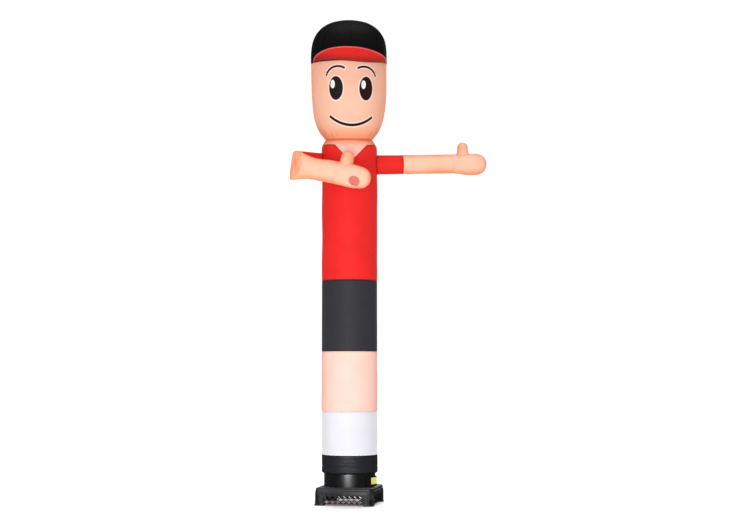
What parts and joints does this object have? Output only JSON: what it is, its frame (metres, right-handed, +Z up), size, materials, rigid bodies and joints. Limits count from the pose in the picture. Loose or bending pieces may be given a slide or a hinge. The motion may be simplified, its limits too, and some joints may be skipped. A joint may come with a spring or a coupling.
{
  "type": "inflatable air dancer with its blower",
  "caption": "Tall tubular cloth figure with a head, a peaked cap and arms, held up by the air of the round blower that its cuff fits over.",
  "frame": {"origin": "centre of the whole object's footprint box, on the ground", "axes": "+Z up along the figure, +X towards the straight arm's hand, -Y the way the face looks"},
  "size_m": [1.84, 0.9778, 4.4963],
  "materials": {
    "base_plastic": "moulded black ABS, satin",
    "guard_plastic": "moulded black ABS lattice, matt",
    "ring_enamel": "rolled steel in satin black enamel",
    "switch_plastic": "moulded black ABS, satin",
    "plate_yellow": "blank yellow plastic plate",
    "nylon_charcoal": "ripstop nylon, charcoal",
    "nylon_white": "ripstop nylon, white",
    "nylon_skin": "ripstop nylon, pale peach",
    "nylon_grey": "ripstop nylon, dark grey",
    "nylon_red": "ripstop nylon, bright red",
    "nylon_face": "ripstop nylon, pale peach, with a printed face",
    "nylon_black": "ripstop nylon, black"
  },
  "bodies": {
    "root": {"blower_base": "base_plastic", "intake_guard_front": "guard_plastic", "intake_guard_right": "guard_plastic", "intake_guard_back": "guard_plastic", "intake_guard_left": "guard_plastic", "duct_ring": "ring_enamel", "switch_box": "switch_plastic", "switch_plate": "plate_yellow", "cuff": "nylon_charcoal", "sock_panel": "nylon_white", "leg_panel": "nylon_skin", "shorts_panel": "nylon_grey", "shirt_panel": "nylon_red", "neck_panel": "nylon_skin", "head_panel": "nylon_face", "cap_crown": "nylon_black", "peak_top": "nylon_black", "peak_underside": "nylon_red", "straight_sleeve": "nylon_red", "straight_forearm": "nylon_skin", "straight_hand": "nylon_skin", "straight_thumb": "nylon_skin", "folded_sleeve": "nylon_red", "folded_forearm": "nylon_skin", "folded_hand": "nylon_skin", "folded_thumb": "nylon_skin"}
  },
  "joints": []
}
